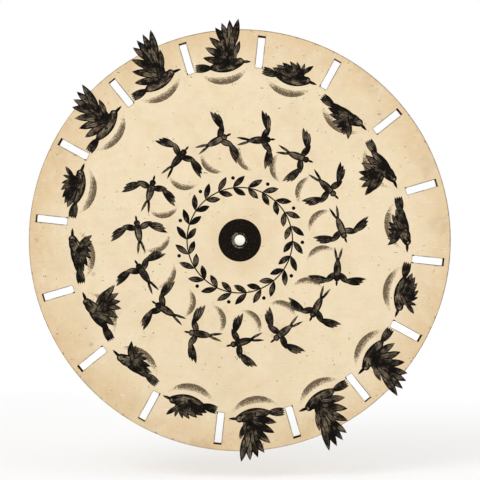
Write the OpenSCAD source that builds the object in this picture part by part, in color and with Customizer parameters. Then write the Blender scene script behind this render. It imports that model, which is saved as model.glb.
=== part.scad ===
// Phenakistoscope: a slotted card disc that spins in front of a turned wooden handle.
// The spin axis is Y. The printed face looks along -Y and the handle lies behind it, along +Y.
// The origin is the middle of the hand grip. Lengths are in millimetres.

/* [Disc] */
// Diameter of the card disc, without the wing tips that stand past its rim
disc_d = 240; // [190:1:260]
// Thickness of the pasteboard core
card_t = 1.4; // [0.8:0.1:2.4]
// Thickness of the printed face sheet
face_t = 0.25; // [0.15:0.05:0.4]
// Thickness of the plain back sheet
back_t = 0.15; // [0.1:0.05:0.4]
// Width of the bare margin that the nut's washer has worn in the face sheet
worn_w = 0.25; // [0.2:0.05:1]

/* [Viewing slots] */
// Number of slots, which is also the number of printed birds
slot_count = 16; // [10:2:20]
// Width of a slot
slot_w = 3.9; // [2:0.1:6]
// Length of a slot
slot_len = 17.2; // [12:0.1:20]
// Radius that the punch leaves in a slot's corners
slot_corner_r = 0.5; // [0.2:0.1:0.9]
// Width of the card left between a slot and the rim
slot_margin = 4.1; // [3:0.1:8]
// Angle of the first slot
slot_turn = 16.3; // [0:0.1:22]

/* [Wings cut out past the rim] */
// Distance from the rim in to the birds' bodies
bird_depth = 24; // [20:0.5:26]
// How far a bird's body rises and falls through its wing beat
bird_bob = 4.5; // [1:0.5:6]
// Length of the longest flight feather
feather_len = 21; // [15:0.5:23]
// Width of a flight feather
feather_w = 4.6; // [3:0.1:5.5]
// Number of flight feathers in a wing
feather_count = 7; // [5:1:9]
// Length of the wing's arm, from the shoulder to the wrist
wing_arm = 8.5; // [5:0.5:9]

/* [Hub and clamp] */
// Diameter of the fixed steel spindle
spindle_d = 3.2; // [2.4:0.1:3.6]
// Diameter of the hub's front spigot, which the disc's hole fits
spigot_d = 6.2; // [5.6:0.1:8]
// Diameter of the hub's flange, which is also its milled finger wheel
flange_d = 26; // [20:0.5:40]
// Thickness of the flange
flange_t = 1.6; // [1.2:0.1:3]
// Length of the hub's barrel behind the flange
barrel_len = 5.4; // [4:0.1:10]
// Diameter of the hub's barrel at its waist
barrel_d = 7.4; // [6.4:0.1:10]
// Number of milled notches round the flange
flange_notches = 60; // [24:1:72]
// Thickness of the leather pad
pad_t = 0.8; // [0.4:0.1:2]
// Radial wall of the clamp nut
nut_wall = 0.6; // [0.5:0.05:2]
// Height of the clamp nut
nut_h = 1.8; // [1.2:0.1:4]
// Number of milled notches round the clamp nut
nut_notches = 24; // [12:1:30]
// Thickness of the washer under the nut
nut_washer_t = 0.4; // [0.3:0.05:1]
// Length of the bone end cap
cap_len = 2.9; // [2.4:0.1:6]

/* [Handle] */
// Length of the belly that the hand holds
belly_len = 72; // [50:1:110]
// Largest diameter of the belly
belly_d = 22; // [18:0.5:30]
// Diameter where the belly meets the coves at its ends
belly_end_d = 14.8; // [13.5:0.1:16]
// Smallest diameter of the neck behind the ferrule
neck_d = 11.4; // [9:0.1:13]
// Length of the neck cove
neck_len = 10; // [6:0.5:16]
// Width of the bead behind the ferrule
front_bead_w = 5.2; // [3:0.1:7]
// Width of the bead behind the belly
rear_bead_w = 4; // [2.5:0.1:6]
// Length of the cove in front of the end knob
rear_cove_len = 7; // [5:0.5:12]
// Diameter of the end knob
knob_d = 19; // [16:0.5:26]
// Length of the end knob
knob_len = 14; // [10:0.5:15]
// Outer diameter of the brass ferrule
ferrule_d = 15; // [14:0.1:18]
// Length of the ferrule
ferrule_len = 14; // [10:0.5:20]
// Wall thickness of the ferrule
ferrule_wall = 1; // [0.6:0.1:1.5]
// Diameter of the two ferrule pins
pin_d = 1.2; // [0.8:0.1:1.8]
// Length of a ferrule pin
pin_len = 4; // [3:0.1:5]
// Depth of the spindle's tang in the wood
tang_len = 32; // [20:1:45]

/* [Hidden] */
$fn = 96;

// Clearances and small allowances
running_gap = 0.05;
seat_gap = 0.02;
end_play = 0.1;
past = 1;

// Radii of the hub's parts
disc_r = disc_d / 2;
spindle_r = spindle_d / 2;
spindle_end_r = 0.7 * spindle_r;
hub_bore_r = spindle_r + running_gap;
spigot_r = spigot_d / 2;
disc_hole_r = spigot_r + running_gap;
collar_step = 0.3;
collar_r = barrel_d / 2 + collar_step;
thrust_washer_step = 0.2;
thrust_washer_r = collar_r - thrust_washer_step;
flange_r = flange_d / 2;
pad_margin = 1;
pad_r = flange_r - pad_margin;
nut_r = disc_hole_r + nut_wall;
nut_washer_step = 0.2;
nut_washer_r = nut_r + nut_washer_step;
cap_gap = 0.15;
cap_r = disc_hole_r - cap_gap;
worn_wave = 0.12;
worn_r = nut_washer_r + worn_w;

// Places along the spindle, from the ferrule's front face forward
collar_t = 2;
rear_washer_t = 0.5;
front_washer_t = 0.35;
spigot_spare = 0.45;
rear_washer_z = collar_t;
hub_z = rear_washer_z + rear_washer_t + end_play;
flange_z = hub_z + barrel_len;
pad_z = flange_z + flange_t;
back_z = pad_z + pad_t;
card_z = back_z + back_t;
face_z = card_z + card_t;
nut_z = face_z + nut_washer_t;
spigot_end_z = nut_z + nut_h + spigot_spare;
front_washer_z = spigot_end_z + end_play;
shoulder_z = front_washer_z + front_washer_t;
cap_crown_t = 1;
cap_bore_depth = cap_len - cap_crown_t;
tip_gap = 0.2;
tip_z = shoulder_z + cap_bore_depth - tip_gap;

// Radii and places along the handle, from the ferrule's front face back
ferrule_r = ferrule_d / 2;
tenon_r = ferrule_r - ferrule_wall - seat_gap;
tang_bore_r = spindle_r + seat_gap;
pin_r = pin_d / 2;
pin_head = 0.15;
belly_r = belly_d / 2;
belly_end_r = belly_end_d / 2;
knob_r = knob_d / 2;
front_bead_rise = 1.6;
front_bead_r = ferrule_r + front_bead_rise;
rear_bead_rise = 1.2;
rear_bead_r = belly_end_r + rear_bead_rise;
front_bead_z = -ferrule_len - front_bead_w;
neck_z = front_bead_z - neck_len;
belly_z = neck_z - belly_len;
rear_bead_z = belly_z - rear_bead_w;
rear_cove_z = rear_bead_z - rear_cove_len;
handle_end_z = rear_cove_z - knob_len;
grip_z = belly_z + belly_len / 2;
knob_end_r = sqrt(knob_r * knob_r - knob_len * knob_len / 4);
rear_cove_depth = 1;

// Small turned details
scribe_r = 0.35;
scribe_in = 3;
rim_w = 1.6;
rim_rise = 0.6;
ferrule_groove_r = 0.3;
ferrule_groove_in = 2.2;
tang_taper = 0.6;
tang_taper_len = 3;
collar_groove_r = 0.7;
tip_chamfer = 0.3;
lip_w = 1.4;
flange_chamfer = 0.25;
spigot_chamfer = 0.2;
nut_chamfer = 0.2;
cap_dome = 1.1;

// Milled notches: radius of the cutter, and how far outside the edge its middle runs
flange_notch_r = 0.45;
flange_notch_out = 0.15;
nut_notch_r = 0.28;
nut_notch_out = 0.1;

// Wing beat: two beats round the disc, so opposite birds are alike and the disc stays balanced
beats = 2;
top_bird = 4;
lift_middle = 20;
lift_swing = 60;
bird_r = disc_r - bird_depth;
shoulder = [2, 1.5];
arm_angle = 70;
first_feather = 75;
feather_fan = 85;
least_overhang = 0.6;
wing_root_depth = 2;

function bird_angle(i) = slot_turn + (i + 0.5) * 360 / slot_count;
function beat(i) = cos(beats * (i - top_bird) * 360 / slot_count);
function lift(i) = sin(lift_middle + lift_swing * beat(i));

// A wing is flat. Seen from the side, its heights shrink with its lift
function seen(angle, length, rise) = length * [cos(angle), rise * sin(angle)];
function feather_angle(t) = first_feather + feather_fan * t;
function feather_root(t, rise) = shoulder + seen(arm_angle, wing_arm * min(1, 2 * (1 - t)), rise);
function feather_vane(t, rise) = seen(feather_angle(t), feather_len * (1 - 0.3 * t), rise);

// Points are measured from the disc's centre, with the bird flying at the top of the disc
function bird_centre(i) = [0, bird_r + bird_bob * beat(i)];
function overhang(i, t) =
    norm(bird_centre(i) + feather_root(t, lift(i)) + feather_vane(t, lift(i))) - disc_r;

// Radius of an arc from its half chord and its depth
function arc_r(half, depth) = (half * half + depth * depth) / (2 * depth);

// Turns the model's own axis, along which it is written, to the spin axis
module place() {
    rotate([90, 0, 0])
        translate([0, 0, -grip_z])
            children();
}

// A lens: two equal arcs that meet in a point at each end
module lens(length, width) {
    r = arc_r(length / 2, width / 2);
    intersection() {
        translate([length / 2, r - width / 2])
            circle(r);
        translate([length / 2, width / 2 - r])
            circle(r);
    }
}

// The flight feathers of one wing that reach past the rim
module wing_tips(i) {
    for (j = [0 : feather_count - 1]) {
        t = j / (feather_count - 1);
        vane = feather_vane(t, lift(i));
        if (overhang(i, t) > least_overhang)
            translate(bird_centre(i) + feather_root(t, lift(i)))
                rotate(atan2(vane[1], vane[0]))
                    lens(norm(vane), feather_w);
    }
}

// A punched viewing slot with rounded corners, centred on its own middle
module slot() {
    inner_len = slot_len - 2 * slot_corner_r;
    inner_w = slot_w - 2 * slot_corner_r;
    square([slot_len, inner_w], center = true);
    square([inner_len, slot_w], center = true);
    for (x = [-1, 1], y = [-1, 1])
        translate([x * inner_len / 2, y * inner_w / 2])
            circle(slot_corner_r, $fn = 24);
}

// Outline that all three layers of the disc are cut to
module disc_outline() {
    difference() {
        union() {
            circle(disc_r);
            difference() {
                for (i = [0 : slot_count - 1])
                    rotate(bird_angle(i) - 90)
                        wing_tips(i);
                circle(disc_r - wing_root_depth);
            }
        }
        for (i = [0 : slot_count - 1])
            rotate(slot_turn + i * 360 / slot_count)
                translate([disc_r - slot_margin - slot_len / 2, 0])
                    slot();
    }
}

module disc_layer(z, t) {
    place()
        translate([0, 0, z])
            linear_extrude(t)
                difference() {
                    disc_outline();
                    children();
                }
}

// Edge of the hole that wear has torn in the face sheet
module worn_hole() {
    polygon([
        for (a = [0 : 7.5 : 359])
            (worn_r + worn_wave * (0.6 * sin(5 * a) + 0.4 * sin(11 * a + 40))) * [cos(a), sin(a)]
    ]);
}

// Half outlines for turning: x is the radius and y runs along the axis
module bead_half(r, width) {
    square([r - width / 2, width]);
    translate([r - width / 2, width / 2])
        circle(width / 2);
}

module cove_half(end_r, waist_r, length) {
    r = arc_r(length / 2, end_r - waist_r);
    difference() {
        square([end_r, length]);
        translate([waist_r + r, length / 2])
            circle(r);
    }
}

module swell_half(end_r, middle_r, length) {
    r = arc_r(length / 2, middle_r - end_r);
    intersection() {
        square([middle_r, length]);
        translate([middle_r - r, length / 2])
            circle(r, $fn = 360);
    }
}

module ring(inner_r, outer_r, height) {
    difference() {
        cylinder(r = outer_r, h = height);
        translate([0, 0, -past])
            cylinder(r = inner_r, h = height + 2 * past);
    }
}

// A turned disc whose two outer edges are chamfered
module chamfered(r, height, chamfer) {
    rotate_extrude()
        polygon([
            [0, 0], [r - chamfer, 0], [r, chamfer],
            [r, height - chamfer], [r - chamfer, height], [0, height]
        ]);
}

// Milled edge: round notches cut along the axis
module notches(count, edge_r, notch_r, height) {
    for (i = [0 : count - 1])
        rotate(i * 360 / count)
            translate([edge_r, 0, -past])
                cylinder(r = notch_r, h = height + 2 * past, $fn = 24);
}

module handle_profile() {
    difference() {
        union() {
            translate([0, -ferrule_len])
                square([tenon_r, ferrule_len - ferrule_wall]);
            translate([0, front_bead_z])
                bead_half(front_bead_r, front_bead_w);
            translate([0, neck_z])
                cove_half(belly_end_r, neck_d / 2, neck_len);
            translate([0, belly_z])
                swell_half(belly_end_r, belly_r, belly_len);
            translate([0, rear_bead_z])
                bead_half(rear_bead_r, rear_bead_w);
            translate([0, rear_cove_z])
                cove_half(knob_end_r, knob_end_r - rear_cove_depth, rear_cove_len);
            translate([0, handle_end_z])
                swell_half(knob_end_r, knob_r, knob_len);
        }
        for (z = [neck_z - scribe_in, belly_z + scribe_in])
            translate([scribe_line_r(z), z])
                circle(scribe_r, $fn = 24);
    }
}

// Radius of the belly's surface at a place along the handle
function scribe_line_r(z) =
    let (r = arc_r(belly_len / 2, belly_r - belly_end_r))
    belly_r - r + sqrt(r * r - (z - grip_z) * (z - grip_z));

module pin_holes(r) {
    for (side = [-1, 1])
        translate([0, 0, -ferrule_len / 2])
            rotate([0, side * 90, 0])
                translate([0, 0, ferrule_r + pin_head - pin_len - past])
                    cylinder(r = r, h = pin_len + 2 * past);
}

module handle() {
    color("#5c2f1c")
        place()
            difference() {
                rotate_extrude()
                    handle_profile();
                translate([0, 0, -ferrule_wall - tang_len - past])
                    cylinder(r = tang_bore_r, h = tang_len + 2 * past);
                pin_holes(pin_r + seat_gap);
            }
}

module ferrule() {
    color("#b08a48")
        place()
            difference() {
                rotate_extrude()
                    difference() {
                        union() {
                            translate([0, -ferrule_len])
                                square([ferrule_r, ferrule_len]);
                            translate([0, -ferrule_len])
                                bead_half(ferrule_r + rim_rise, rim_w);
                        }
                        for (z = [-ferrule_len + 2 * rim_w, -ferrule_groove_in])
                            translate([ferrule_r, z])
                                circle(ferrule_groove_r, $fn = 24);
                    }
                translate([0, 0, -ferrule_len - past])
                    cylinder(r = tenon_r + seat_gap, h = ferrule_len - ferrule_wall + past);
                translate([0, 0, -ferrule_wall - past])
                    cylinder(r = tang_bore_r, h = ferrule_wall + 2 * past);
                pin_holes(pin_r + seat_gap);
            }
}

module ferrule_pins() {
    color("#a07c3c")
        place()
            for (side = [-1, 1])
                translate([0, 0, -ferrule_len / 2])
                    rotate([0, side * 90, 0])
                        translate([0, 0, ferrule_r + pin_head - pin_len])
                            cylinder(r = pin_r, h = pin_len);
}

module spindle() {
    tang_z = -ferrule_wall - tang_len;
    color("#6f7378")
        place() {
            translate([0, 0, tang_z])
                cylinder(r1 = spindle_r - tang_taper, r2 = spindle_r, h = tang_taper_len);
            translate([0, 0, tang_z + tang_taper_len])
                cylinder(r = spindle_r, h = shoulder_z - tang_z - tang_taper_len);
            rotate_extrude()
                difference() {
                    square([collar_r, collar_t]);
                    translate([collar_r + collar_groove_r / 2, collar_t / 2])
                        circle(collar_groove_r, $fn = 48);
                }
            translate([0, 0, shoulder_z])
                cylinder(r = spindle_end_r, h = tip_z - tip_chamfer - shoulder_z);
            translate([0, 0, tip_z - tip_chamfer])
                cylinder(r1 = spindle_end_r, r2 = spindle_end_r - tip_chamfer, h = tip_chamfer);
        }
}

module rear_thrust_washer() {
    color("#9c6b3a")
        place()
            translate([0, 0, rear_washer_z])
                ring(hub_bore_r, thrust_washer_r, rear_washer_t);
}

module hub_spool() {
    flare_len = barrel_len - lip_w;
    barrel_r = barrel_d / 2;
    color("#b8924c")
        place()
            difference() {
                union() {
                    rotate_extrude()
                        difference() {
                            union() {
                                translate([0, hub_z])
                                    square([barrel_r, barrel_len]);
                                translate([0, hub_z])
                                    bead_half(barrel_r + lip_w / 2, lip_w);
                                translate([0, flange_z - flare_len])
                                    square([barrel_r + flare_len, flare_len]);
                            }
                            translate([barrel_r + flare_len, flange_z - flare_len])
                                circle(flare_len);
                        }
                    translate([0, 0, flange_z])
                        chamfered(flange_r, flange_t, flange_chamfer);
                    translate([0, 0, flange_z + flange_t / 2])
                        chamfered(spigot_r, spigot_end_z - flange_z - flange_t / 2, spigot_chamfer);
                }
                cylinder(r = hub_bore_r, h = spigot_end_z + past);
                translate([0, 0, flange_z])
                    notches(flange_notches, flange_r + flange_notch_out, flange_notch_r, flange_t);
            }
}

module leather_pad() {
    color("#6b4a30")
        place()
            translate([0, 0, pad_z])
                ring(disc_hole_r, pad_r, pad_t);
}

module back_sheet() {
    color("#d8c8a4")
        disc_layer(back_z, back_t)
            circle(disc_hole_r);
}

module card_core() {
    color("#b99c72")
        disc_layer(card_z, card_t)
            circle(disc_hole_r);
}

module face_sheet() {
    color("#ecd8b4")
        disc_layer(face_z, face_t)
            worn_hole();
}

module nut_washer() {
    color("#a98445")
        place()
            translate([0, 0, face_z])
                ring(disc_hole_r, nut_washer_r, nut_washer_t);
}

module clamp_nut() {
    color("#b8924c")
        place()
            translate([0, 0, nut_z])
                difference() {
                    chamfered(nut_r, nut_h, nut_chamfer);
                    translate([0, 0, -past])
                        cylinder(r = disc_hole_r, h = nut_h + 2 * past);
                    notches(nut_notches, nut_r + nut_notch_out, nut_notch_r, nut_h);
                }
}

module front_thrust_washer() {
    color("#9c6b3a")
        place()
            translate([0, 0, front_washer_z])
                ring(hub_bore_r, cap_r, front_washer_t);
}

module end_cap() {
    color("#efe6d0")
        place()
            translate([0, 0, shoulder_z])
                difference() {
                    rotate_extrude()
                        intersection() {
                            square([cap_r, cap_len]);
                            translate([0, cap_len - arc_r(cap_r, cap_dome)])
                                circle(arc_r(cap_r, cap_dome));
                        }
                    translate([0, 0, -past])
                        cylinder(r = spindle_end_r + seat_gap, h = cap_bore_depth + past);
                }
}

handle();
ferrule();
ferrule_pins();
spindle();
rear_thrust_washer();
hub_spool();
leather_pad();
back_sheet();
card_core();
face_sheet();
nut_washer();
clamp_nut();
front_thrust_washer();
end_cap();
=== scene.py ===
# Looks of a phenakistoscope: a printed, slotted card disc that spins on a turned handle.
# The frame is in metres. Sizes in the dictionaries are in millimetres unless a note says otherwise.
import math
from functools import cached_property

import bmesh
import bpy
from mathutils import Matrix, Vector


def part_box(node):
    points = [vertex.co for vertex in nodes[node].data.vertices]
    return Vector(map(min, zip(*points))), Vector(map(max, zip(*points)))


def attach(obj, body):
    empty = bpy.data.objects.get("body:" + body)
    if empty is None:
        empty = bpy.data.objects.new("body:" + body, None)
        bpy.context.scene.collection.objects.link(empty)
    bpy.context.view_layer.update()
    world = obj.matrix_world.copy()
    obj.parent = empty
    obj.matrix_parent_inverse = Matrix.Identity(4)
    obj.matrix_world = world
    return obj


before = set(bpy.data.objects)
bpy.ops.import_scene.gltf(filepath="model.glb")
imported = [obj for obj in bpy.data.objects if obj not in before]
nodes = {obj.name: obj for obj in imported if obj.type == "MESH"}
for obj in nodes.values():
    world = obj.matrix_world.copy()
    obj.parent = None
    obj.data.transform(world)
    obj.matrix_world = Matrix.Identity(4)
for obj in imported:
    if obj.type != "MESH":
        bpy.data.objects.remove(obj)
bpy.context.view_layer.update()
mm = 0.001
print("frame loaded,", len(nodes), "nodes")

scene = bpy.context.scene
scene.view_settings.view_transform = "Standard"

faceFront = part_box("face_sheet")[0].y / mm  # the printed surface, which looks along -Y
discRadius = 120.0


def tone(code):
    # linear colour from a six-figure screen colour
    channels = [int(code[i:i + 2], 16) / 255 for i in (0, 2, 4)]
    return tuple(c / 12.92 if c <= 0.04045 else ((c + 0.055) / 1.055) ** 2.4 for c in channels) + (1.0,)


class Wire:
    # a number that comes from a node; Python's operators on it add Math nodes
    def __init__(self, paint, socket):
        self.paint = paint
        self.socket = socket

    def __add__(self, other):
        return self.paint.math("ADD", self, other)

    def __radd__(self, other):
        return self.paint.math("ADD", other, self)

    def __sub__(self, other):
        return self.paint.math("SUBTRACT", self, other)

    def __rsub__(self, other):
        return self.paint.math("SUBTRACT", other, self)

    def __mul__(self, other):
        return self.paint.math("MULTIPLY", self, other)

    def __rmul__(self, other):
        return self.paint.math("MULTIPLY", other, self)

    def __pow__(self, other):
        return self.paint.math("POWER", self, other)


class Paint:
    # one material; place is in millimetres on the object, and radius and angle are about the spin axis
    def __init__(self, name):
        self.material = bpy.data.materials.new(name)
        self.material.use_nodes = True
        self.tree = self.material.node_tree
        self.tree.nodes.clear()

    @cached_property
    def coords(self):
        return self.node("ShaderNodeTexCoord").outputs

    @cached_property
    def place(self):
        return self.vector("SCALE", self.coords["Object"], scale=1 / mm)

    @cached_property
    def axes(self):
        return self.split(self.place)

    @cached_property
    def radius(self):
        return (self.axes[0] * self.axes[0] + self.axes[2] * self.axes[2]) ** 0.5

    @cached_property
    def angle(self):
        return self.math("ARCTAN2", self.axes[2], self.axes[0]) * (180 / math.pi)

    @cached_property
    def turned(self):
        # radius and place along the axis, so that marks run round a turned piece
        return self.node("ShaderNodeCombineXYZ", inputs={0: self.radius, 1: self.axes[1]}).outputs[0]

    @cached_property
    def uv(self):
        return self.split(self.coords["UV"])

    def node(self, kind, settings=None, inputs=None):
        made = self.tree.nodes.new(kind)
        for key, value in (settings or {}).items():
            if key == "stops":
                ramp = made.color_ramp
                while len(ramp.elements) < len(value):
                    ramp.elements.new(0.5)
                for element, (position, colour) in zip(ramp.elements, value):
                    element.position = position
                    element.color = tone(colour)
            else:
                setattr(made, key, value)
        for key, value in (inputs or {}).items():
            socket = made.inputs[key]
            if isinstance(value, Wire):
                self.tree.links.new(value.socket, socket)
            elif isinstance(value, bpy.types.NodeSocket):
                self.tree.links.new(value, socket)
            else:
                socket.default_value = value
        return made

    def math(self, operation, *values, clamp=False):
        settings = {"operation": operation, "use_clamp": clamp}
        return Wire(self, self.node("ShaderNodeMath", settings, dict(enumerate(values))).outputs[0])

    def vector(self, operation, a, b=None, scale=None):
        inputs = {0: a}
        if b is not None:
            inputs[1] = b
        if scale is not None:
            inputs["Scale"] = scale
        return self.node("ShaderNodeVectorMath", {"operation": operation}, inputs).outputs["Vector"]

    def split(self, vector):
        parts = self.node("ShaderNodeSeparateXYZ", inputs={0: vector})
        return [Wire(self, parts.outputs[i]) for i in range(3)]

    def pattern(self, size, stretch, shift, where):
        # coordinates in which one blob is about one unit, lengthened by stretch
        scaled = self.vector("MULTIPLY", where or self.place, tuple(1 / (size * s) for s in stretch))
        return self.vector("ADD", scaled, (shift, shift * 0.7, shift * 1.3))

    def noise(self, size, detail=2.0, rough=0.5, stretch=(1, 1, 1), shift=0.0, where=None):
        vector = self.pattern(size, stretch, shift, where)
        inputs = {"Vector": vector, "Scale": 1.0, "Detail": detail, "Roughness": rough}
        return Wire(self, self.node("ShaderNodeTexNoise", inputs=inputs).outputs[0])

    def cells(self, size, shift=0.0, stretch=(1, 1, 1), warp=0.0):
        # distance from the nearest of the scattered points, in units of size, and that point's own chance;
        # warp bends what is drawn round a point into a crooked mark
        vector = self.pattern(size, stretch, shift, None)
        if warp:
            finer = self.pattern(size * 0.22, (1, 1, 1), shift, None)
            inputs = {"Vector": finer, "Scale": 1.0, "Detail": 1.0}
            wobble = self.node("ShaderNodeTexNoise", inputs=inputs).outputs["Color"]
            vector = self.vector("ADD", vector, self.vector("SCALE", wobble, scale=warp))
        found = self.node("ShaderNodeTexVoronoi", inputs={"Vector": vector, "Scale": 1.0})
        return Wire(self, found.outputs["Distance"]), self.split(found.outputs["Color"])[0]

    def step(self, value, low, high):
        # smooth 0 to 1 as value goes from low to high, either way round
        if low > high:
            return 1 - self.step(value, high, low)
        inputs = {"Value": value, "From Min": low, "From Max": high}
        made = self.node("ShaderNodeMapRange", {"interpolation_type": "SMOOTHSTEP"}, inputs)
        return Wire(self, made.outputs[0])

    def clip(self, value):
        return self.math("ADD", value, 0.0, clamp=True)

    def mix(self, factor, a, b):
        # colours are screen codes, or sockets of an earlier mix
        first, second = [tone(c) if isinstance(c, str) else c for c in (a, b)]
        inputs = {0: factor, 6: first, 7: second}
        return self.node("ShaderNodeMix", {"data_type": "RGBA"}, inputs).outputs[2]

    def ramp(self, value, stops):
        return self.node("ShaderNodeValToRGB", {"stops": stops}, {0: value}).outputs[0]

    def bump(self, height, depth, under=None):
        # depth in millimetres is what a height of 1 stands for
        inputs = {"Height": height, "Distance": depth * mm, "Strength": 1.0}
        if under is not None:
            inputs["Normal"] = under
        return self.node("ShaderNodeBump", inputs=inputs).outputs[0]

    def surface(self, colour, rough, normal, fixed=None):
        inputs = {"Base Color": colour, "Roughness": rough, "Normal": normal, **(fixed or {})}
        shader = self.node("ShaderNodeBsdfPrincipled", inputs=inputs)
        self.node("ShaderNodeOutputMaterial", inputs={"Surface": shader.outputs[0]})
        return self.material


# What the slots are cut to, and where the print's birds fly between them
slots = {"count": 16, "turn": 16.3, "width": 3.9, "length": 17.2, "margin": 4.1, "corner": 0.5}
slotPitch = 360 / slots["count"]
slotOuter = discRadius - slots["margin"]
slotMiddle = slotOuter - slots["length"] / 2


def slotDistance(paint):
    # distance from the nearest slot's edge, and how far to one side of that slot's middle a point lies
    offset = slotPitch / 2 - slots["turn"]
    swing = (paint.math("FLOORED_MODULO", paint.angle + offset, slotPitch) - slotPitch / 2) * (math.pi / 180)
    along = paint.radius * paint.math("COSINE", swing) - slotMiddle
    across = paint.radius * paint.math("SINE", swing)
    corner = slots["corner"]
    outAlong = paint.math("MAXIMUM", paint.math("ABSOLUTE", along) + (corner - slots["length"] / 2), 0.0)
    outAcross = paint.math("MAXIMUM", paint.math("ABSOLUTE", across) + (corner - slots["width"] / 2), 0.0)
    return (outAlong * outAlong + outAcross * outAcross) ** 0.5 - corner, across


# Card and paper: tones, then how strongly each kind of ageing or painted shade shows, from 0 to 1, then
# where it comes
paperLook = {
    "base": "f4e1bf", "rim": "e5c99f", "warm": "f2d9ab", "cool": "efe1c6", "pink": "f2d7b9",
    "green": "eae0b8", "halo": "e2bd90", "stain": "c9ab7e", "scuff": "fbf1dc", "fleck": "6f4724",
    "dirtAndShade": "443a2e", "edgeShadeAndNicks": "5d4b3c",
    "tint": 0.25, "wear": 0.12, "clouds": 0.16, "grain": 0.2, "streaks": 0.1, "scuffs": 0.45,
    "halos": 0.24, "foxing": 0.3, "soil": 0.95, "flakes": 0.7, "handled": 0.13, "slotEdgeShade": 0.3, "nicks": 0.5,
    "tanned": (91, 124), "tanWander": 24, "spread": 34.0, "fibre": 0.36,
}
backLook = dict(
    paperLook, base="dfcaa4", rim="c6a97b", warm="dcc295", cool="dfcfb0", pink="dcbf9c", green="d6c9a0",
    halo="a98a5c", stain="ad8a58", scuff="efe1c2", rubbed="8c6f48",
    foxing=0.5, soil=0.6, pools=0.06, tides=0.14, rubbing=0.4, spread=38.0,
)
matt = {"Specular IOR Level": 0.15}

# Ticks, specks and flakes. Each row: size, shift, stretch and warp of the cells, the distances from a point
# between which the mark fades in, the chances between which it comes, how much likelier each millimetre
# outward makes it, then its tone and its strength
markKinds = (
    (4.6, 5.1, (1.8, 1, 0.6), 0.35, (0.14, 0.06), (0.7, 0.95), 0.0018, "fleck", "soil"),
    (3.8, 6.4, (0.6, 1, 1.7), 0.35, (0.14, 0.06), (0.76, 1.01), 0.0018, "fleck", "soil"),
    (2.6, 3.7, (1, 1, 1), 0.3, (0.16, 0.08), (0.84, 1.08), 0.0018, "dirtAndShade", "soil"),
    (2.8, 9.2, (1.5, 1, 0.7), 0.4, (0.2, 0.08), (0.7, 0.95), 0.0, "scuff", "flakes"),
)


def agedPaper(paint, look):
    # even rag paper, tanned only near the rim and more so to the left, with mottles and streaks
    x, _, z = paint.axes
    wander = look["tanWander"] * paint.noise(look["spread"], 3)
    reach = paint.radius - 0.016 * x + 0.01 * z + wander - look["tanWander"] / 2
    colour = paint.mix(paint.step(reach, *look["tanned"]), look["base"], look["rim"])
    for size, shift, low, high in ((6.0, 11, "warm", "cool"), (9.0, 23, "pink", "green")):
        tint = paint.noise(size, 3, 0.6, shift=shift)
        colour = paint.mix(paint.step(tint, 0.5, 0.32) * look["tint"], colour, look[low])
        colour = paint.mix(paint.step(tint, 0.5, 0.68) * look["tint"], colour, look[high])
    clouds = paint.step(paint.noise(look["spread"], 3, 0.6, shift=4), 0.45, 0.8)
    colour = paint.mix(clouds * look["clouds"], colour, look["stain"])
    worn = paint.noise(11.0, 5, 0.7, shift=12)
    colour = paint.mix(paint.step(worn, 0.5, 0.34) * look["wear"], colour, look["stain"])
    colour = paint.mix(paint.step(worn, 0.52, 0.66) * look["wear"] * 1.6, colour, look["scuff"])
    fibre = paint.noise(look["fibre"], 3, 0.7, shift=1)
    colour = paint.mix(paint.step(fibre, 0.44, 0.72) * look["grain"], colour, look["stain"])
    streaks = paint.step(paint.noise(1.3, 2, 0.5, (14, 1, 1), shift=9), 0.55, 0.8)
    colour = paint.mix(streaks * look["streaks"], colour, look["stain"])
    scuffs = paint.step(paint.noise(0.9, 3, 0.7, (6, 1, 1.4), shift=3), 0.61, 0.7)
    colour = paint.mix(scuffs * look["scuffs"], colour, look["scuff"])
    haloEdge = paint.radius + 7 * paint.noise(9.0, 2, shift=6)
    halo = paint.step(haloEdge, 26, 15) * paint.step(paint.radius, 11.5, 12.5)
    return paint.mix(halo * look["halos"], colour, look["halo"]), fibre


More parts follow.
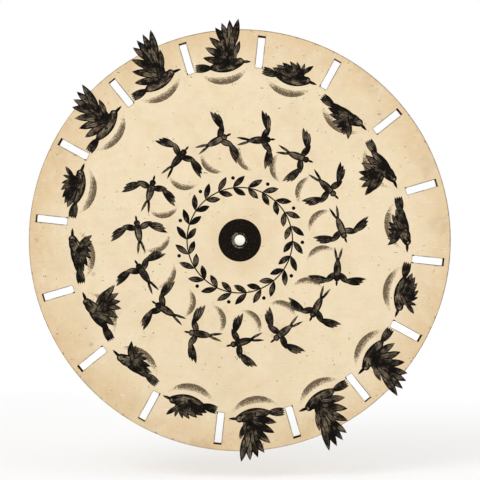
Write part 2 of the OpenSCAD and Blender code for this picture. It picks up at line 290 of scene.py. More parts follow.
def paperMarks(paint, look, colour):
    # foxing, small marks in drifts, thicker towards the rim, soil along every cut edge, painted shade round
    # each slot, and a painted shadow line, partly soil, along the rim
    ragged = 0.12 * paint.noise(0.9, 2) - 0.06
    near, chance = paint.cells(15.0, shift=2.5)
    spot = paint.step(near + ragged, 0.12, 0.03) * paint.step(chance, 0.5, 0.9)
    colour = paint.mix(spot * look["foxing"], colour, look["fleck"])
    drift = 0.15 + 0.85 * paint.step(paint.noise(16.0, 3, 0.6, shift=13), 0.4, 0.62)
    for size, shift, stretch, warp, fadeIn, odds, outward, shade, strength in markKinds:
        near, chance = paint.cells(size, shift, stretch, warp)
        mark = paint.step(near, *fadeIn) * paint.step(chance + outward * paint.radius, *odds)
        colour = paint.mix(mark * drift * look[strength], colour, look[shade])
    inRim = paint.step(paint.radius, discRadius - 24, discRadius - 2)
    handled = paint.step(paint.noise(14.0, 3, shift=6), 0.56, 0.74) * inRim
    colour = paint.mix(handled * look["handled"], colour, look["dirtAndShade"])
    fromSlot, side = slotDistance(paint)
    # painted shade: a soft darker band round each slot, as on a crushed edge, in the dirt tone
    slotEdgeShade = paint.step(fromSlot + 0.5 * paint.noise(1.5, 2) - 0.25, 0.95, 0.2)
    colour = paint.mix(slotEdgeShade * look["slotEdgeShade"], colour, look["dirtAndShade"])
    grimy = paint.step(paint.noise(7.0, 3, shift=10), 0.42, 0.6)
    # soil along each slot's edge, with painted shade making one side of each slot darker
    cut = paint.step(fromSlot, 0.22, 0.05) * (0.25 + 0.4 * grimy + 0.25 * paint.step(side, 0.5, 2.0))
    colour = paint.mix(cut, colour, look["dirtAndShade"])
    # a thin dark line along the rim, stronger to the right and top: a painted shadow of the card's edge,
    # partly soil; the dark nicks after it are real
    x, _, z = paint.axes
    across = x + 0.6 * z + 50 * paint.noise(60.0, 1)
    wavy = paint.radius + 0.7 * paint.noise(4.0, 3) - 0.35
    rim = paint.step(wavy, discRadius - 0.8, discRadius - 0.1)
    colour = paint.mix(rim * (0.5 + 0.25 * paint.step(across, -5, 115)), colour, look["edgeShadeAndNicks"])
    near, chance = paint.cells(2.6, shift=8.3)
    atEdge = paint.step(paint.radius, discRadius - 1.6, discRadius - 0.8)
    nick = paint.step(near, 0.34, 0.16) * paint.step(chance, 0.6, 0.7) * atEdge
    return paint.mix(nick * look["nicks"], colour, look["edgeShadeAndNicks"])


def printedPaper():
    paint = Paint("printedPaper")
    plain, fibre = agedPaper(paint, paperLook)
    colour = paperMarks(paint, paperLook, plain)
    cockle = paint.bump(paint.noise(45.0, 2, shift=7), 0.5)
    return paint.surface(colour, 0.82 + 0.1 * fibre, paint.bump(fibre, 0.012, cockle), matt)


def plainPaper():
    # the back: browner, with foxing, water marks and a rubbed ring round the hub
    paint = Paint("plainPaper")
    colour, fibre = agedPaper(paint, backLook)
    pool = paint.noise(52.0, 4, 0.55, shift=17)
    inside = paint.step(pool, 0.53, 0.56)
    tide = inside * paint.step(pool, 0.6, 0.555)
    colour = paint.mix(inside * backLook["pools"], colour, backLook["stain"])
    colour = paint.mix(tide * backLook["tides"], colour, backLook["halo"])
    edge = paint.radius + 1.2 * paint.noise(3.0, 3)
    rubbed = paint.step(edge, 13.2, 14.6) * paint.step(paint.radius, 20.0, 14.8)
    colour = paint.mix(rubbed * backLook["rubbing"], colour, backLook["rubbed"])
    colour = paperMarks(paint, backLook, colour)
    cockle = paint.bump(paint.noise(30.0, 2, shift=2), 0.5)
    return paint.surface(colour, 0.88, paint.bump(fibre, 0.03, cockle), matt)


boardLook = {
    "plies": [(0.3, "6e5233"), (0.5, "a88455"), (0.7, "c9ab7c")],
    "bare": [(0.35, "1c1814"), (0.5, "3d352b"), (0.65, "8f8168")],
    "torn": [(0.3, "8f8069"), (0.5, "cbbfa6"), (0.7, "ece5d5")],
    "stain": "5b452c", "ply": 0.16, "bareWithin": 8.0,
}


def pasteboard():
    # the cut edge shows the pasted plies; the bare front shows rough board round the centre hole
    paint = Paint("pasteboard")
    plies = paint.noise(boardLook["ply"], 2, 0.6, (70, 1, 70), shift=5)
    rough = paint.noise(0.5, 3, 0.7)
    edge = paint.ramp(plies, boardLook["plies"])
    bare = paint.ramp(rough, boardLook["bare"])
    inHole = paint.step(paint.radius, boardLook["bareWithin"] + 1, boardLook["bareWithin"])
    colour = paint.mix(inHole, edge, bare)
    colour = paint.mix(paint.step(rough, 0.55, 0.85) * 0.3, colour, boardLook["stain"])
    return paint.surface(colour, 0.9, paint.bump(plies, 0.05, paint.bump(rough, 0.06)), matt)


def tornPaper():
    # pale fibres where the print has worn away round the nut
    paint = Paint("tornPaper")
    rough = paint.noise(0.3, 3, 0.7, shift=2)
    return paint.surface(paint.ramp(rough, boardLook["torn"]), 0.9, paint.bump(rough, 0.05), matt)


# Printing ink
inkLook = {
    "shades": [(0.0, "0b0906"), (0.22, "18130e"), (0.5, "453d33"), (0.75, "6b604f"), (1.0, "918165")],
    "brown": "6f5140", "paper": "d3bb90", "smudge": "5c4d3a", "smudgePale": "8a7557",
    "wash": 0.5, "barbs": 24, "grain": 0.38,
}


def printInk():
    # lithographic black under a grey wash: UV runs along and across each stroke, and tone lightens it
    paint = Paint("printInk")
    light = Wire(paint, paint.node("ShaderNodeAttribute", {"attribute_name": "tone"}).outputs["Fac"])
    along, across, _ = paint.uv
    side = paint.math("ABSOLUTE", across - 0.5) * 2
    slant = along * inkLook["barbs"] - side * 3
    barbPlace = paint.node("ShaderNodeCombineXYZ", inputs={0: slant}).outputs[0]
    barbs = paint.noise(1.0, 2, 0.6, where=barbPlace)
    pool = paint.noise(4.5, 3, 0.6, shift=8)
    grain = paint.noise(inkLook["grain"], 2, 0.7)
    inside = paint.step(side, 0.82, 0.52) * paint.step(along, 0.02, 0.2)
    wash = inside * (0.15 + 1.45 * paint.step(pool, 0.34, 0.68))
    shade = light + inkLook["wash"] * wash + 0.5 * (barbs - 0.5) * wash + 0.35 * (grain - 0.5)
    colour = paint.ramp(shade, inkLook["shades"])
    patch = paint.step(paint.noise(6.0, 3, 0.7, shift=14), 0.5, 0.68) * paint.step(shade, 0.3, 0.6)
    colour = paint.mix(patch * 0.45, colour, inkLook["brown"])
    bare = paint.step(grain + 0.3 * paint.clip(light) + 0.1 * paint.step(pool, 0.6, 0.75), 0.72, 0.8)
    colour = paint.mix(bare * 0.6, colour, inkLook["paper"])
    return paint.surface(colour, 0.55 + 0.2 * grain, paint.bump(grain, 0.012), {"Specular IOR Level": 0.05})


def crayonSmudge():
    # stippled crayon shadow: firm along its outer edge, thinning inward and at its tips
    paint = Paint("crayonSmudge")
    along, across, _ = paint.uv
    tips = paint.step(along, 0.0, 0.3) * paint.step(along, 1.0, 0.7)
    fade = tips * (0.45 + 0.55 * paint.step(across, 0.0, 0.7))
    grain = paint.noise(inkLook["grain"] * 1.2, 2, 0.8, shift=6)
    cover = paint.step(grain + fade * 0.22, 0.52, 0.66) * (0.34 + fade * 0.56)
    colour = paint.mix(paint.step(grain, 0.4, 0.7), inkLook["smudge"], inkLook["smudgePale"])
    return paint.surface(colour, 0.85, paint.bump(grain, 0.01), {"Alpha": cover, "Specular IOR Level": 0.1})


# Metals
def oldBrass(name, fresh, dull, cover=0.75, kept=0.5, mottle=3.2, lean=0.0, thread=None):
    # tarnish as deep as cover leaves some of the polish kept, in patches of the mottle's size, more of them
    # towards -X where it leans; the lathe's marks run round the piece, and thread holds a screw's sizes
    paint = Paint(name)
    cloud = paint.noise(mottle, 4, 0.65) + lean * paint.axes[0]
    spots = paint.step(paint.noise(0.8, 3, 0.7, shift=3), 0.58, 0.78)
    tarnish = paint.clip(paint.step(cloud, kept - 0.2, kept + 0.2) * cover + spots * 0.45)
    colour = paint.mix(tarnish, fresh, dull)
    marks = paint.noise(0.1, 2, 0.5, shift=8, where=paint.turned)
    normal = paint.bump(marks, 0.012, paint.bump(cloud, 0.03))
    if thread:
        climb = (paint.axes[1] * (1 / thread["pitch"]) + paint.angle * (1 / 360)) * (2 * math.pi)
        start = paint.step(paint.axes[1], thread["start"], thread["start"] - 0.1)
        ridge = (0.5 + 0.5 * paint.math("SINE", climb)) * start
        ridge = ridge * paint.step(paint.radius, thread["radius"] + 0.3, thread["radius"] + 0.1)
        normal = paint.bump(ridge, thread["depth"], normal)
    rough = 0.26 + 0.3 * tarnish + 0.1 * marks
    return paint.surface(colour, rough, normal, {"Metallic": 1 - 0.3 * tarnish})


steelLook = {"fresh": "6d7176", "dull": "3d3a38", "mottle": 2.0}


def bluedSteel():
    paint = Paint("bluedSteel")
    cloud = paint.noise(steelLook["mottle"], 4, 0.6)
    colour = paint.mix(paint.step(cloud, 0.3, 0.75), steelLook["fresh"], steelLook["dull"])
    marks = paint.noise(0.1, 2, 0.5, where=paint.turned)
    return paint.surface(colour, 0.28 + 0.25 * cloud, paint.bump(marks, 0.01), {"Metallic": 1.0})


# Wood, leather and bone
woodLook = {
    "shades": [(0.34, "43190c"), (0.5, "6f3019"), (0.68, "8f4a28")], "pore": "240d07", "grimeAndShade": "2a130b",
    "pith": (-34.0, 17.0), "ring": 2.6,
}


def polishedMahogany():
    # growth rings about a pith outside the turning, uneven in width, with ribbon figure, open pores, grime
    # in patches and painted shade where the turning is slim
    paint = Paint("polishedMahogany")
    x, y, z = paint.axes
    awayX = x + woodLook["pith"][0] + 7 * paint.noise(34.0, 2, 0.5, (1, 4, 1))
    awayZ = z + woodLook["pith"][1] + 6 * paint.noise(26.0, 2, 0.5, (1, 5, 1), shift=5)
    rings = (awayX * awayX + awayZ * awayZ) ** 0.5
    along = paint.node("ShaderNodeCombineXYZ", inputs={0: rings, 1: y * 0.03}).outputs[0]
    bands = paint.noise(woodLook["ring"], 3, 0.6, where=along)
    ribbon = paint.noise(3.5, 2, 0.5, (1, 9, 1), shift=4)
    fibre = paint.noise(0.4, 3, 0.6, (1, 30, 1))
    colour = paint.ramp(0.5 * bands + 0.28 * ribbon + 0.22 * fibre, woodLook["shades"])
    pores = paint.step(paint.noise(0.2, 2, 0.5, (1, 18, 1), shift=2), 0.6, 0.7)
    colour = paint.mix(pores * 0.6, colour, woodLook["pore"])
    handled = paint.step(paint.noise(12.0, 3), 0.45, 0.75)
    colour = paint.mix(handled * 0.3, colour, woodLook["grimeAndShade"])
    # darker where the turning is slim: painted shade in the coves and necks
    hollow = paint.step(paint.radius + 0.6 * paint.noise(4.0, 3), 8.2, 6.9)
    colour = paint.mix(hollow * 0.45, colour, woodLook["grimeAndShade"])
    rough = 0.22 + 0.2 * handled + 0.14 * pores
    normal = paint.bump(1 - pores, 0.02, paint.bump(fibre, 0.015))
    return paint.surface(colour, rough, normal, {"Coat Weight": 0.4, "Coat Roughness": 0.14})


leatherLook = {"dark": "4a2f1d", "light": "6f4a2e", "crease": "2b190e", "pebble": 0.55}


def brownLeather():
    paint = Paint("brownLeather")
    pebble, _ = paint.cells(leatherLook["pebble"])
    colour = paint.mix(paint.step(paint.noise(2.5, 3), 0.35, 0.7), leatherLook["dark"], leatherLook["light"])
    # painted shade in the creases between the pebbles
    colour = paint.mix(paint.step(pebble, 0.35, 0.6) * 0.5, colour, leatherLook["crease"])
    return paint.surface(colour, 0.62, paint.bump(1 - pebble, 0.06), {"Specular IOR Level": 0.3})


boneLook = {"pale": "fffdf6", "grain": "f3ecdc", "handled": "b9a37c", "corner": (2.4, 2.85)}


def turnedBone():
    # streaks along the grain, and a darker corner where fingers have turned the cap
    paint = Paint("turnedBone")
    streak = paint.noise(0.35, 3, 0.6, (1, 8, 1))
    colour = paint.mix(paint.step(streak, 0.35, 0.75), boneLook["pale"], boneLook["grain"])
    colour = paint.mix(paint.step(paint.radius, *boneLook["corner"]) * 0.4, colour, boneLook["handled"])
    return paint.surface(colour, 0.34, paint.bump(streak, 0.01), {"Coat Weight": 0.3, "Coat Roughness": 0.2})


def dress(material, *names):
    for name in names:
        mesh = nodes[name].data
        mesh.materials.clear()
        mesh.materials.append(material)


dress(printedPaper(), "face_sheet")
dress(plainPaper(), "back_sheet")
dress(pasteboard(), "card_core")
dress(polishedMahogany(), "handle")
dress(oldBrass("ferruleBrass", "bf9a5c", "5d4526"), "ferrule")
dress(oldBrass("pinBrass", "ad8748", "45321b"), "ferrule_pins")
spigotThread = {"pitch": 0.5, "depth": 0.15, "radius": 3.1, "start": faceFront}
dress(oldBrass("hubBrass", "c4a062", "5f4826", cover=0.6, thread=spigotThread), "hub_spool")
dress(oldBrass("nutBrass", "b8a98a", "14110e", cover=1.0, kept=0.34, mottle=0.9, lean=0.045),
      "clamp_nut", "nut_washer")
dress(oldBrass("washerBronze", "a8713a", "4a2d17", cover=0.6), "rear_thrust_washer", "front_thrust_washer")
dress(bluedSteel(), "spindle")
dress(brownLeather(), "leather_pad")
dress(turnedBone(), "end_cap")
print("CAD pieces finished, materials:", len(bpy.data.materials))


# Stamps that the print is made of, each one unit long and one wide: lens, crescent, disc and square
stampShape = {"steps": 10, "lensBow": 0.11, "outerBow": 0.3, "innerBow": 0.14, "discSides": 20}


def finishStamp(bm, name, width, across):
    # UV runs along the stamp, and across it by the given rule
    bm.normal_update()
    uv = bm.loops.layers.uv.new("strokeUV")
    for face in bm.faces:
        if face.normal.z < 0:
            face.normal_flip()
        for loop in face.loops:
            loop[uv].uv = (loop.vert.co.x, across(loop.vert.co))
    bmesh.ops.scale(bm, vec=(1, 1 / width, 1), verts=bm.verts[:])
    mesh = bpy.data.meshes.new(name)
    bm.to_mesh(mesh)
    bm.free()
    return mesh


def makeStroke(name, upper, lower):
    # a leaf between two arcs that rise by upper and by lower, with points at both ends
    bm = bmesh.new()
    for bow in (upper, lower):
        arc = (0.25 + bow * bow) / (2 * bow)
        tip = bm.verts.new((0, 0, 0))
        bmesh.ops.spin(bm, geom=[tip], cent=(0.5, bow - arc, 0), axis=(0, 0, 1), dvec=(0, 0, 0),
                       angle=-2 * math.asin(0.5 / arc), steps=stampShape["steps"], use_duplicate=False)
    bmesh.ops.bridge_loops(bm, edges=bm.edges[:])
    bmesh.ops.remove_doubles(bm, verts=bm.verts[:], dist=1e-5)

    def across(place):
        atTip = min(place.x, 1 - place.x) < 1e-4
        return 0.5 if atTip else float(place.y > 2 * (upper + lower) * place.x * (1 - place.x))

    return finishStamp(bm, name, upper - lower, across)


def makeDisc():
    bm = bmesh.new()
    bmesh.ops.create_circle(bm, cap_ends=True, segments=stampShape["discSides"], radius=0.5)
    bmesh.ops.poke(bm, faces=bm.faces[:])
    bmesh.ops.translate(bm, vec=(0.5, 0, 0), verts=bm.verts[:])
    return finishStamp(bm, "discStamp", 1.0, lambda place: 0.5 + math.hypot(place.x - 0.5, place.y))


def makeSquare():
    bm = bmesh.new()
    bmesh.ops.create_grid(bm, x_segments=1, y_segments=1, size=0.5)
    bmesh.ops.translate(bm, vec=(0.5, 0, 0), verts=bm.verts[:])
    return finishStamp(bm, "squareStamp", 1.0, lambda place: place.y + 0.5)


lensStamp = makeStroke("lensStamp", stampShape["lensBow"], -stampShape["lensBow"])
crescentStamp = makeStroke("crescentStamp", stampShape["outerBow"], stampShape["innerBow"])
discStamp = makeDisc()
squareStamp = makeSquare()


def polar(angle, length, rise=1.0):
    # a stroke at an angle; rise below 1 shrinks its height, as on a flat wing seen from the side
    radians = math.radians(angle)
    return Vector((length * math.cos(radians), length * rise * math.sin(radians), 0))


# Heights over the face paper: the underside of every stroke, where each kind of print starts, and how far
# each stroke stands above the last
printLift = {
    "root": -0.03, "shadow": 0.008, "stem": 0.018, "ink": 0.02, "boss": 0.03, "fibre": 0.032,
    "strokeStep": 0.0006, "leafStep": 0.0002, "guideStep": 0.0004, "fibreStep": 0.001,
}
# A feather's shaft: start and reach are shares of the feather's length
quill = {"start": 0.04, "reach": 0.88, "width": 0.34, "light": -0.5}


class Figure:
    # strokes drawn flat in millimetres, each a hair above the last so that later ones cover earlier ones
    def __init__(self, lift=printLift["ink"], step=printLift["strokeStep"]):
        self.bm = bmesh.new()
        self.tone = self.bm.verts.layers.float.new("tone")
        self.lift = lift
        self.step = step

    def stamp(self, shape, at, angle, length, width, light=0.0):
        before = len(self.bm.verts)
        self.bm.from_mesh(shape)
        self.bm.verts.ensure_lookup_table()
        fresh = self.bm.verts[before:]
        size = Matrix.Diagonal((length, width, 1, 1))
        turn = Matrix.Rotation(math.radians(angle), 4, "Z")
        put = Matrix.Translation((at[0], at[1], self.lift))
        bmesh.ops.transform(self.bm, matrix=put @ turn @ size, verts=fresh)
        for vert in fresh:
            vert[self.tone] = light
        self.lift += self.step

    def lens(self, at, angle, length, width, light=0.0):
        self.stamp(lensStamp, at, angle, length, width, light)

    def dot(self, at, size, light=0.0):
        self.stamp(discStamp, (at[0] - size / 2, at[1]), 0, size, size, light)

    def vane(self, at, along, width, light):
        # a feather: a washed blade with a black shaft
        angle = math.degrees(math.atan2(along.y, along.x))
        self.lens(at, angle, along.length, width, light)
        shaft = along.length * quill["reach"]
        self.lens(at + along * quill["start"], angle, shaft, quill["width"], quill["light"])

    def addTo(self, layer, matrix):
        bmesh.ops.transform(self.bm, matrix=matrix, verts=self.bm.verts[:])
        mesh = bpy.data.meshes.new("figure")
        self.bm.to_mesh(mesh)
        self.bm.free()
        layer.from_mesh(mesh)
        bpy.data.meshes.remove(mesh)


def ringPlace(angle, radius, lean=0.0):
    # puts a figure drawn at the origin on the disc, its up direction pointing outward
    outward = Matrix.Rotation(math.radians(angle - 90), 4, "Z") @ Matrix.Translation((0, radius, 0))
    return outward @ Matrix.Rotation(math.radians(lean), 4, "Z")


def layPrint(layer, name, material):
    # closes every stroke down into the paper, stands it on the disc's face and makes it a piece
    made = bmesh.ops.extrude_face_region(layer, geom=layer.faces[:], use_keep_orig=True)
    for item in made["geom"]:
        if isinstance(item, bmesh.types.BMVert):
            item.co.z = printLift["root"]
    bmesh.ops.recalc_face_normals(layer, faces=layer.faces[:])
    # the extrusion makes its walls in no fixed order, so faces are sorted by the edge that each starts with
    layer.verts.index_update()
    count = len(layer.verts)
    layer.faces.sort(key=lambda face: face.loops[0].vert.index * count + face.loops[1].vert.index)
    upright = Matrix.Rotation(math.pi / 2, 4, "X")
    stand = Matrix.Scale(mm, 4) @ Matrix.Translation((0, faceFront, 0)) @ upright
    bmesh.ops.transform(layer, matrix=stand, verts=layer.verts[:])
    mesh = bpy.data.meshes.new(name)
    layer.to_mesh(mesh)
    layer.free()
    mesh.materials.append(material)
    piece = bpy.data.objects.new(name, mesh)
    scene.collection.objects.link(piece)
    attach(piece, "disc")
    print(name, len(mesh.polygons), "faces")


# Outer ring: a bird in side view between each pair of slots, beating its wings twice round the disc.
# In these figures a lens has a place, angle, length, width and tone, and a dot has a place, size and tone
bird = {
    "radius": 96.0, "bob": 4.5, "beats": 2, "top": 4, "liftMiddle": 20, "liftSwing": 60,
    "shoulder": (2.0, 1.5), "arm": 8.5, "armAngle": 70, "armWidth": 2.8, "armStart": (-0.5, -1.2),
    "feathers": 7, "firstFeather": 75, "fan": 85, "featherLength": 21.0, "featherWidth": 4.6,
    "shortening": 0.3,
    "coverts": ((0.56, 3.8, 6), (0.32, 3.0, 5)),  # each row's share of the feathers' length, width and count
    "farShoulder": (4.6, 1.4), "farSize": 0.64, "farLag": 16, "farRise": 0.95, "farLight": 0.16,
    "tailRoot": (-6.5, -0.2), "tailFeathers": 4, "tailFirst": -9, "tailFan": 7, "tailSwing": 4,
    "tailLength": 10.5, "tailWidth": 2.7,
    "trunk": ((-9.8, -0.4), 3, 21, 7.2, 0.08), "beak": ((8.4, 2.0), -5, 7.0, 1.7, -0.4),
    "breast": ((-1.0, -0.2), 14, 12.4, 5.6, 0.06), "head": ((9.0, 1.9), 4.6, -0.02),
    "scallops": 5, "firstScallop": (-5.2, -1.9), "scallopGap": 2.1, "scallopSize": (4.6, 1.4),
    "scallopLight": 0.2, "cheek": ((5.4, 0.2), 30, 3.8, 1.3, 0.25),
    "eye": ((9.9, 2.4), 1.2, 0.9), "pupil": ((10.0, 2.4), 0.6, -0.5),
}


def birdPhase(index):
    return math.radians(bird["beats"] * (index - bird["top"]) * slotPitch)


def birdPlace(index):
    # midway between two slots, higher where the wings are up
    height = bird["radius"] + bird["bob"] * math.cos(birdPhase(index))
    return ringPlace(slots["turn"] + (index + 0.5) * slotPitch, height)


def drawWing(figure, rise, shoulder, size, light):
    # the long feathers from the body outward, two rows of short ones over their roots, then the arm
    root = Vector((*shoulder, 0))
    last = bird["feathers"] - 1
    for j in reversed(range(bird["feathers"])):
        t = j / last
        at = root + polar(bird["armAngle"], bird["arm"] * min(1, 2 * (1 - t)) * size, rise)
        reach = bird["featherLength"] * (1 - bird["shortening"] * t) * size
        along = polar(bird["firstFeather"] + bird["fan"] * t, reach, rise)
        figure.vane(at, along, min(bird["featherWidth"] * size, along.length * 0.3), light)
    for length, width, count in bird["coverts"]:
        for j in range(count):
            t = 1 - j / (count - 1)
            at = root + polar(bird["armAngle"], bird["arm"] * (1 - t) * 0.9 * size, rise)
            turn = bird["firstFeather"] + 8 + bird["fan"] * 0.85 * t
            along = polar(turn, bird["featherLength"] * length * size, rise)
            figure.vane(at, along, min(width * size, along.length * 0.4), light + 0.04)
    arm = polar(bird["armAngle"], bird["arm"] * size * 1.25, rise)
    start = root + Vector((*bird["armStart"], 0))
    angle = math.degrees(math.atan2(arm.y, arm.x))
    figure.lens(start, angle, arm.length + 3, bird["armWidth"] * size, light - 0.1)


def drawBird(index, layer):
    phase = birdPhase(index)
    wingLift = bird["liftMiddle"] + bird["liftSwing"] * math.cos(phase)
    figure = Figure()
    farRise = math.sin(math.radians(wingLift - bird["farLag"])) * bird["farRise"]
    drawWing(figure, farRise, bird["farShoulder"], bird["farSize"], bird["farLight"])
    for j in range(bird["tailFeathers"]):
        turn = bird["tailFirst"] + bird["tailFan"] * j + bird["tailSwing"] * math.sin(phase)
        figure.vane(Vector((*bird["tailRoot"], 0)), -polar(turn, bird["tailLength"]), bird["tailWidth"], 0.0)
    for part in ("trunk", "beak", "breast"):
        figure.lens(*bird[part])
    figure.dot(*bird["head"])
    x, y = bird["firstScallop"]
    for j in range(bird["scallops"]):
        at = (x + bird["scallopGap"] * j, y - 0.2 * math.sin(j * 2))
        figure.lens(at, 8 + 3 * j, *bird["scallopSize"], bird["scallopLight"])
    figure.lens(*bird["cheek"])
    figure.dot(*bird["eye"])
    figure.dot(*bird["pupil"])
    drawWing(figure, math.sin(math.radians(wingLift)), bird["shoulder"], 1.0, 0.0)
    figure.addTo(layer, birdPlace(index))


# Inner ring: swallows from above, one fewer than the slots, so they seem to travel
swallow = {
    "count": 15, "radius": 58.0, "turn": 7.0, "lean": 14, "beats": 3, "sweep": 62, "sweepSwing": 16,
    "tailStart": (-4.2, 0.2), "tailSplay": 13, "tailSize": (9.0, 1.5), "tailLight": -0.05,
    "shoulder": (1.3, -0.8), "arm": 6.5, "feathers": 3, "firstFeather": 50, "fan": 9,
    "featherLength": 13.0, "shortening": 1.6, "featherWidth": 2.9,
    "bladeStart": (1.6, 0.6), "bladeOverlap": 0.9, "bladeLength": 9.4, "bladeWidth": 3.8,
    "trunk": ((-7.4, 0), 0, 14, 4.4, 0.08), "beak": ((5.6, 0), 0, 3.6, 1.3, -0.4),
    "head": ((4.7, 0), 3.6, -0.02),
    "gleam": ((-4.6, 0.6), 2, 7.5, 1.1, 0.22), "softGleam": ((-3.0, -0.8), 2, 6.0, 0.8, 0.12),
}
swallowPitch = 360 / swallow["count"]


def swallowPlace(index):
    return ringPlace(swallow["turn"] + swallowPitch * index, swallow["radius"], swallow["lean"])


def drawSwallow(index, layer):
    beat = math.sin(math.radians(swallow["beats"] * swallowPitch * index))
    sweep = swallow["sweep"] + swallow["sweepSwing"] * beat
    figure = Figure()
    for side in (1, -1):
        x, y = swallow["tailStart"]
        splay = 180 - swallow["tailSplay"] * side
        figure.lens((x, y * side), splay, *swallow["tailSize"], swallow["tailLight"])
        x, y = swallow["shoulder"]
        elbow = Vector((x, y * side, 0)) + polar(side * sweep, swallow["arm"])
        for j in range(swallow["feathers"]):
            turn = side * (sweep + swallow["firstFeather"] - swallow["fan"] * j)
            along = polar(turn, swallow["featherLength"] - swallow["shortening"] * j)
            figure.vane(elbow, along, swallow["featherWidth"], 0.0)
        x, y = swallow["bladeStart"]
        start = Vector((x, y * side, 0)) - polar(side * sweep, swallow["bladeOverlap"])
        figure.vane(start, polar(side * sweep, swallow["bladeLength"]), swallow["bladeWidth"], 0.0)
    figure.lens(*swallow["trunk"])
    figure.lens(*swallow["beak"])
    figure.dot(*swallow["head"])
    figure.lens(*swallow["gleam"])
    figure.lens(*swallow["softGleam"])
    figure.addTo(layer, swallowPlace(index))


# Wreath of paired leaves on a thin ring, with a berry at every other pair
wreath = {
    "pairs": 22, "radius": 30.0, "stem": 0.7, "outerLeaf": 9.4, "innerLeaf": 8.2, "leafWidth": 3.4,
    "leafStart": (0.4, 0.35), "leafSplay": 36, "leafLight": -0.05,
    "berry": 2.1, "berryPlace": (1.2, 5.6), "berryLight": -0.3,
}


def drawWreath(layer):
    figure = Figure(step=printLift["leafStep"])
    x, y = wreath["leafStart"]
    for index in range(wreath["pairs"]):
        turn = 360 / wreath["pairs"] * index
        place = ringPlace(turn, wreath["radius"])
        for side, size in ((1, wreath["outerLeaf"]), (-1, wreath["innerLeaf"])):
            at = place @ Vector((x, y * side, 0))
            along = polar(turn - 90 + wreath["leafSplay"] * side, size)
            figure.vane(at, along, wreath["leafWidth"], wreath["leafLight"])
        if index % 2 == 0:
            berryAt = place @ Vector((*wreath["berryPlace"], 0))
            figure.dot(berryAt, wreath["berry"], wreath["berryLight"])
    figure.addTo(layer, Matrix())
    half = wreath["stem"] / 2
    addBand(layer, wreath["radius"] - half, wreath["radius"] + half, printLift["stem"])


# Plain black ring round the nut, its inner edge torn into fibres. Each row of tears: how deep they are as a
# share of ragged, how many go round, and where they start, in radians
boss = {
    "inner": 4.24, "outer": 12.2, "ragged": 0.04, "light": 0.15, "sides": 144,
    "tears": ((0.6, 5, 0.0), (0.4, 11, 0.7), (0.5, 23, 1.9)),
    "fibres": 70, "fibreStart": 4.18, "fibreScatter": 0.2, "fibreLength": 0.6, "fibreWidth": 0.13,
    "tornSide": 200, "tornSpread": 85,
}


def addBand(layer, inner, outer, height, ragged=0.0, light=0.0):
    # a printed ring between two radii, its inner edge torn where ragged is above 0
    toneLayer = layer.verts.layers.float["tone"]
    small = bmesh.ops.create_circle(layer, segments=boss["sides"], radius=inner)["verts"]
    large = bmesh.ops.create_circle(layer, segments=boss["sides"], radius=outer)["verts"]
    for vert in small:
        a = math.atan2(vert.co.y, vert.co.x)
        wave = sum(depth * math.sin(count * a + start) for depth, count, start in boss["tears"])
        vert.co *= 1 + ragged * wave / inner
    for vert in small + large:
        vert[toneLayer] = light
    bmesh.ops.translate(layer, vec=(0, 0, height), verts=small + large)
    rings = dict.fromkeys(edge for vert in small + large for edge in vert.link_edges)
    bmesh.ops.bridge_loops(layer, edges=list(rings))


def drawFibres(layer):
    # paper fibres stand at the torn edge, all to one side of the nut
    figure = Figure(printLift["fibre"], printLift["fibreStep"])
    for index in range(boss["fibres"]):
        turn = boss["tornSide"] + boss["tornSpread"] * math.sin(index * 2.4)
        length = boss["fibreLength"] * (0.85 + 0.6 * math.sin(index * 2.7))
        at = polar(turn, boss["fibreStart"] + boss["fibreScatter"] * math.sin(index * 1.3))
        width = boss["fibreWidth"] + 0.05 * math.sin(index * 3.3)
        figure.lens(at, turn + 75 * math.sin(index * 4.1), length, width)
    figure.addTo(layer, Matrix())


# Slot guides: what is left of the printed bars that the punch didn't quite follow
guides = {
    "bar": 0.85, "barSpread": 0.25, "barOverhang": 0.7, "barSkew": 1.2, "barStray": 0.2,
    "line": 0.24, "lineGap": 0.12, "lineStray": 1.5, "tick": 1.3, "tickWidth": 0.6, "tickGap": 0.4,
    "light": -0.3,
}


def drawGuides(layer):
    # a bar across each slot's outer end, a line along part of each side and a tick at most inner corners
    figure = Figure(step=printLift["guideStep"])
    light = guides["light"]
    for index in range(slots["count"]):
        angle = slots["turn"] + slotPitch * index
        place = Matrix.Rotation(math.radians(angle), 4, "Z")
        thick = guides["bar"] + guides["barSpread"] * math.sin(index * 2.3)
        at = place @ Vector((slotOuter + 0.05, guides["barStray"] * math.sin(index), 0))
        skew = guides["barSkew"] * math.sin(index * 1.7)
        figure.stamp(squareStamp, at, angle + skew, thick, slots["width"] + guides["barOverhang"], light)
        for side in (1, -1):
            edge = side * (slots["width"] / 2 + guides["lineGap"])
            reach = slots["length"] * (0.6 + 0.35 * math.sin(index * 1.9 + side))
            start = slotMiddle - reach / 2 + guides["lineStray"] * math.sin(index + side)
            figure.stamp(squareStamp, place @ Vector((start, edge, 0)), angle, reach, guides["line"], light)
            if math.sin(index * 3.1 + side) > -0.4:
                corner = slotMiddle - slots["length"] / 2 - guides["tickGap"]
                at = place @ Vector((corner, edge, 0))
                figure.stamp(squareStamp, at, angle, guides["tick"], guides["tickWidth"], light)
    figure.addTo(layer, Matrix())


inkMaterial = printInk()
birdLayer = bmesh.new()
for index in range(slots["count"]):
    drawBird(index, birdLayer)
layPrint(birdLayer, "printedBirds", inkMaterial)

swallowLayer = bmesh.new()
for index in range(swallow["count"]):
    drawSwallow(index, swallowLayer)
layPrint(swallowLayer, "printedSwallows", inkMaterial)

ornamentLayer = bmesh.new()
drawWreath(ornamentLayer)
addBand(ornamentLayer, boss["inner"], boss["outer"], printLift["boss"], boss["ragged"], boss["light"])
drawGuides(ornamentLayer)
layPrint(ornamentLayer, "printedOrnaments", inkMaterial)

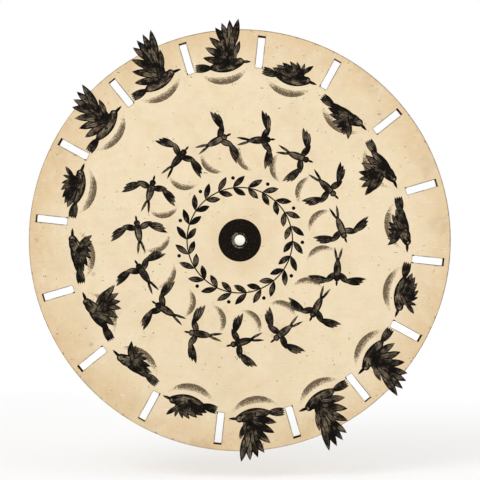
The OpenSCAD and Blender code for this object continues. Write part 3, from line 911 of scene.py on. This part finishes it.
fibreLayer = bmesh.new()
drawFibres(fibreLayer)
layPrint(fibreLayer, "tornFibres", tornPaper())

# Crayon shadows: a slim crescent under each bird's belly and behind each swallow's trailing wing.
# Each has a place, angle, length and width
shadows = {"bird": ((13.5, -1.4), 184, 27.5, 4.2), "swallow": ((-3.6, -17.8), 113, 18.0, 3.4)}


def drawShadow(layer, kind, place):
    figure = Figure(printLift["shadow"])
    figure.stamp(crescentStamp, *shadows[kind])
    figure.addTo(layer, place)


smudgeLayer = bmesh.new()
for index in range(slots["count"]):
    drawShadow(smudgeLayer, "bird", birdPlace(index))
for index in range(swallow["count"]):
    drawShadow(smudgeLayer, "swallow", swallowPlace(index))
layPrint(smudgeLayer, "printedShadows", crayonSmudge())

for stampMesh in (lensStamp, crescentStamp, discStamp, squareStamp):
    bpy.data.meshes.remove(stampMesh)


# Studio: floor just below the disc's widest reach, soft lamps and a white surround. The floor's size and the
# lamps' places and sizes are in metres, and a lamp's last number is its power in watts
studio = {
    "floor": -136.0, "floorSize": 6.0, "floorColour": "e3e3e3", "worldLight": 0.72,
    "nearGlow": "7c7c7c", "farGlow": "b5b5b5", "nearReach": 300, "farReach": 1600,
    "lamps": {
        "keyLamp": ((-0.9, -1.5, 1.2), 1.2, 12.0),
        "fillLamp": ((1.4, -1.1, 0.5), 1.4, 4.5),
        "backLamp": ((0.6, 1.5, 1.0), 1.2, 9.0),
    },
}


def whiteRays(tree):
    # 1 for rays that see the backdrop directly, in metal or through glass
    rays = tree.nodes.new("ShaderNodeLightPath")
    found = rays.outputs["Is Camera Ray"]
    for name in ("Is Glossy Ray", "Is Transmission Ray"):
        either = tree.nodes.new("ShaderNodeMath")
        either.operation = "MAXIMUM"
        tree.links.new(found, either.inputs[0])
        tree.links.new(rays.outputs[name], either.inputs[1])
        found = either.outputs[0]
    return found


def makeFloor():
    # a dim glow, stronger far off, lifts the floor to white for those rays and keeps the object's shadow
    bm = bmesh.new()
    bmesh.ops.create_grid(bm, x_segments=1, y_segments=1, size=studio["floorSize"])
    bmesh.ops.translate(bm, vec=(0, 0, studio["floor"] * mm), verts=bm.verts[:])
    mesh = bpy.data.meshes.new("studioFloor")
    bm.to_mesh(mesh)
    bm.free()
    floor = bpy.data.objects.new("studioFloor", mesh)
    scene.collection.objects.link(floor)
    paint = Paint("paleFloor")
    matte = paint.node("ShaderNodeBsdfDiffuse", inputs={"Color": tone(studio["floorColour"])}).outputs[0]
    x, y, _ = paint.axes
    away = paint.step((x * x + y * y) ** 0.5, studio["nearReach"], studio["farReach"])
    light = paint.mix(away, studio["nearGlow"], studio["farGlow"])
    glow = paint.node("ShaderNodeEmission", inputs={"Color": light, "Strength": 1.0}).outputs[0]
    lit = paint.node("ShaderNodeAddShader", inputs={0: matte, 1: glow}).outputs[0]
    both = paint.node("ShaderNodeMixShader", inputs={0: whiteRays(paint.tree), 1: matte, 2: lit}).outputs[0]
    paint.node("ShaderNodeOutputMaterial", inputs={"Surface": both})
    mesh.materials.append(paint.material)


def makeWorld():
    world = bpy.data.worlds.new("studioWorld")
    world.use_nodes = True
    scene.world = world
    tree = world.node_tree
    tree.nodes.clear()
    blend = tree.nodes.new("ShaderNodeMixShader")
    tree.links.new(whiteRays(tree), blend.inputs[0])
    for place, strength in ((1, studio["worldLight"]), (2, 1.0)):
        light = tree.nodes.new("ShaderNodeBackground")
        light.inputs[0].default_value = (1, 1, 1, 1)
        light.inputs[1].default_value = strength
        tree.links.new(light.outputs[0], blend.inputs[place])
    tree.links.new(blend.outputs[0], tree.nodes.new("ShaderNodeOutputWorld").inputs[0])


def addLamp(name, place, size, power):
    lamp = bpy.data.lights.new(name, "AREA")
    lamp.shape = "DISK"
    lamp.size = size
    lamp.energy = power
    holder = bpy.data.objects.new(name, lamp)
    scene.collection.objects.link(holder)
    holder.location = place
    holder.rotation_euler = (-Vector(place)).to_track_quat("-Z", "Y").to_euler()


makeFloor()
makeWorld()
for lampName, lampSizes in studio["lamps"].items():
    addLamp(lampName, *lampSizes)

# Camera: level, square to the disc, which spans 422 of the picture's 480 pixels. The distance is in metres
shot = {"distance": 0.91, "discPixels": 422, "picture": 480, "centrePixel": (239.8, 240.2), "sensor": 36.0}
pixel = 2 * discRadius * mm / shot["discPixels"]
camera = bpy.data.cameras.new("photoCamera")
camera.sensor_width = shot["sensor"]
camera.lens = shot["sensor"] * shot["distance"] / (shot["picture"] * pixel)
camera.clip_start = 0.01
cameraHolder = bpy.data.objects.new("photoCamera", camera)
scene.collection.objects.link(cameraHolder)
half = shot["picture"] / 2
cameraHolder.location = (
    (half - shot["centrePixel"][0]) * pixel,
    faceFront * mm - shot["distance"],
    (shot["centrePixel"][1] - half) * pixel,
)
cameraHolder.rotation_euler = (math.pi / 2, 0, 0)
scene.camera = cameraHolder
print("studio and camera ready, lens", round(camera.lens, 2))
